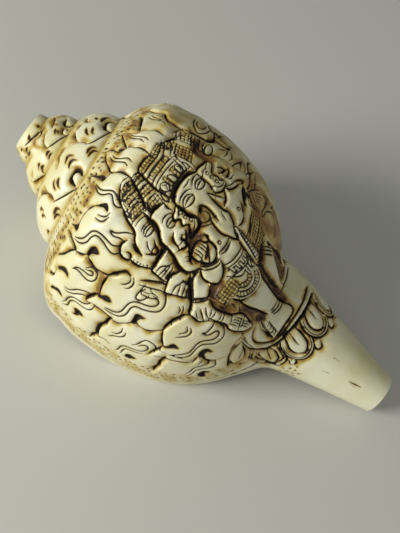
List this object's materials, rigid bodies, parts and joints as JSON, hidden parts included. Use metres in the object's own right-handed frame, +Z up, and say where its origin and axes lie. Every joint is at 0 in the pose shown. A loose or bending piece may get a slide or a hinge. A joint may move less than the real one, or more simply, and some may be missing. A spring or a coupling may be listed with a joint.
{
  "type": "carved conch shell",
  "caption": "Spiral sea snail shell with a cut apex, a long siphonal canal and a wide aperture, its last whorl and spire carved in relief, lying on its aperture side.",
  "frame": {"origin": "centre of the bottom of the bounding box, on the surface that the shell rests on", "axes": "+X along the length, from the cut apex towards the tip of the siphonal canal; +Z up; the outer lip comes down to the surface on the -Y side"},
  "size_m": [0.1768, 0.0956, 0.0828],
  "materials": {
    "carved_shell": "polished ivory-coloured shell, with brown patina left in the carved ground"
  },
  "bodies": {
    "root": {"conch_shell": "carved_shell"}
  },
  "joints": []
}
